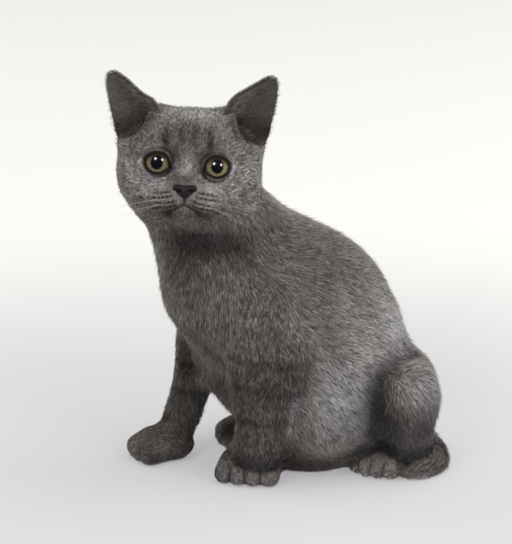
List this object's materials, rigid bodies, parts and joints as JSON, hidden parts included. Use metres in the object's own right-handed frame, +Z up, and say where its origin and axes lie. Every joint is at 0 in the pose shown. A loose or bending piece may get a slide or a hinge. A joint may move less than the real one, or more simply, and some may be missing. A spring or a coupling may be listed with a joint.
{
  "type": "sitting grey kitten model",
  "caption": "Life-size still model of a short-haired blue-grey kitten sitting upright on its haunches, its head turned to its left.",
  "frame": {"origin": "on the floor, under the middle of the kitten's bounding box", "axes": "+Z up, -Y the way the body faces, +X the kitten's left side"},
  "size_m": [0.115, 0.1644, 0.2053],
  "materials": {
    "coat": "short plush blue-grey fur",
    "ear_skin": "thin skin with short dark grey fur",
    "eye": "wet, amber iris round a black pupil",
    "nose_leather": "dark slate, finely pebbled, slightly damp"
  },
  "bodies": {
    "root": {"head": "coat", "neck": "coat", "trunk": "coat", "foreleg_left": "coat", "foreleg_right": "coat", "forepaw_left": "coat", "forepaw_right": "coat", "haunch_left": "coat", "haunch_right": "coat", "hindpaw_left": "coat", "hindpaw_right": "coat", "tail": "coat", "ear_left": "ear_skin", "ear_right": "ear_skin", "eye_left": "eye", "eye_right": "eye", "nose": "nose_leather"}
  },
  "joints": []
}
